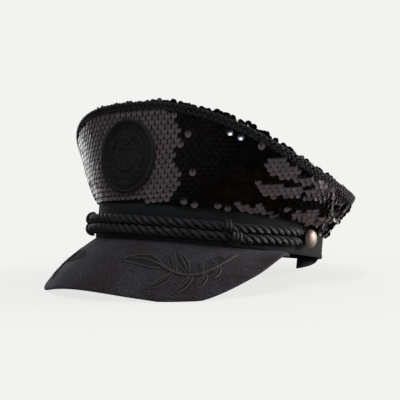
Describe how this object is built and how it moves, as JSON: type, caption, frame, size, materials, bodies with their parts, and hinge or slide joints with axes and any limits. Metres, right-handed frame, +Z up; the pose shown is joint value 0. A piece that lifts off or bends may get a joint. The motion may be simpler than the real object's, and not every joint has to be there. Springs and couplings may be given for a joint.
{
  "type": "captain hat",
  "caption": "Captain hat with a sequinned crown, woven braid edging, cloth band, rope chin cord, domed buttons, round badge and an embroidered peak.",
  "frame": {"origin": "on the surface the hat rests on, below the middle of its bounding box", "axes": "+Z up, the front of the hat towards -Y, the wearer's left towards +X; the hat leans back as it rests on its peak and band"},
  "size_m": [0.241, 0.2586, 0.1463],
  "materials": {
    "band_cloth": "matt plain weave",
    "lining": "smooth, slightly shiny",
    "sequins": "two-sided sequins on cloth, matt mauve-grey and glossy black",
    "braid": "woven gimp braid",
    "suede": "short matt nap",
    "cord": "twisted silky strands",
    "satin_thread": "satin stitch",
    "button_metal": "polished, warm tint"
  },
  "bodies": {
    "root": {"band": "band_cloth", "sweatband": "lining", "crown_side": "sequins", "crown_top": "sequins", "braid_trim": "braid", "peak": "suede", "chin_cord": "cord", "sprig_left": "satin_thread", "sprig_right": "satin_thread", "knot_left": "cord", "knot_right": "cord", "button_left": "button_metal", "button_right": "button_metal", "badge": "satin_thread"}
  },
  "joints": []
}
